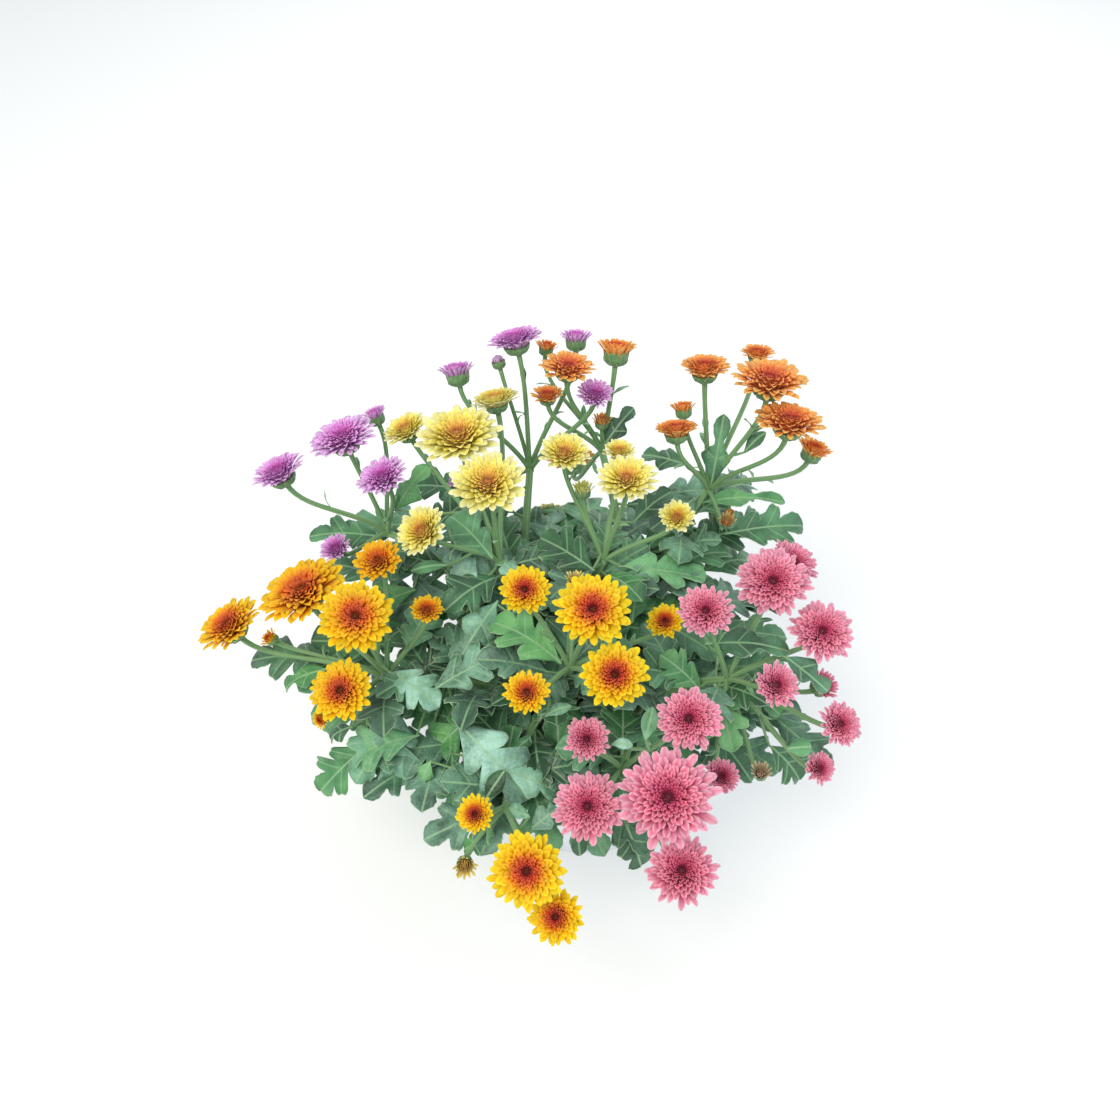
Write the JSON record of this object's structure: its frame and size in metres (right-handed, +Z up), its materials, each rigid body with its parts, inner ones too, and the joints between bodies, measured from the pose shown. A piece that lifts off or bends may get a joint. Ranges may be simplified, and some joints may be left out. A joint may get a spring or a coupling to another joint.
{
  "type": "pot chrysanthemum",
  "caption": "Flowering spray chrysanthemums in mauve, yellow, bronze, gold and coral growing together in one low white plastic pot.",
  "frame": {"origin": "middle of the pot's flat foot, on the surface the pot stands on", "axes": "+Z up along the pot's axis, -Y towards the front of the plant, +X to its right"},
  "size_m": [0.4698, 0.4468, 0.3425],
  "materials": {
    "white_plastic": "satin",
    "peat": "matte",
    "foliage": "matte",
    "mauve_petals": "matte",
    "yellow_petals": "matte",
    "bronze_petals": "matte",
    "golden_petals": "matte",
    "coral_petals": "matte"
  },
  "bodies": {
    "root": {"bronze_flower_01": "bronze_petals", "bronze_flower_02": "bronze_petals", "bronze_flower_03": "bronze_petals", "bronze_flower_04": "bronze_petals", "bronze_flower_05": "bronze_petals", "bronze_flower_06": "bronze_petals", "bronze_flower_07": "bronze_petals", "bronze_flower_08": "bronze_petals", "bronze_flower_09": "bronze_petals", "bronze_stems_and_leaves": "foliage", "coral_flower_01": "coral_petals", "coral_flower_02": "coral_petals", "coral_flower_03": "coral_petals", "coral_flower_04": "coral_petals", "coral_flower_05": "coral_petals", "coral_flower_06": "coral_petals", "coral_flower_07": "coral_petals", "coral_flower_08": "coral_petals", "coral_flower_09": "coral_petals", "coral_flower_10": "coral_petals", "coral_flower_11": "coral_petals", "coral_flower_12": "coral_petals", "coral_flower_13": "coral_petals", "coral_stems_and_leaves": "foliage", "golden_flower_01": "golden_petals", "golden_flower_02": "golden_petals", "golden_flower_03": "golden_petals", "golden_flower_04": "golden_petals", "golden_flower_05": "golden_petals", "golden_flower_06": "golden_petals", "golden_flower_07": "golden_petals", "golden_flower_08": "golden_petals", "golden_flower_09": "golden_petals", "golden_flower_10": "golden_petals", "golden_flower_11": "golden_petals", "golden_flower_12": "golden_petals", "golden_flower_13": "golden_petals", "golden_flower_14": "golden_petals", "golden_stems_and_leaves": "foliage", "mauve_flower_01": "mauve_petals", "mauve_flower_02": "mauve_petals", "mauve_flower_03": "mauve_petals", "mauve_flower_04": "mauve_petals", "mauve_flower_05": "mauve_petals", "mauve_flower_06": "mauve_petals", "mauve_flower_07": "mauve_petals", "mauve_stems_and_leaves": "foliage", "pot": "white_plastic", "potting_soil": "peat", "yellow_flower_01": "yellow_petals", "yellow_flower_02": "yellow_petals", "yellow_flower_03": "yellow_petals", "yellow_flower_04": "yellow_petals", "yellow_flower_05": "yellow_petals", "yellow_flower_06": "yellow_petals", "yellow_flower_07": "yellow_petals", "yellow_flower_08": "yellow_petals", "yellow_flower_09": "yellow_petals", "yellow_flower_10": "yellow_petals", "yellow_stems_and_leaves": "foliage"}
  },
  "joints": []
}
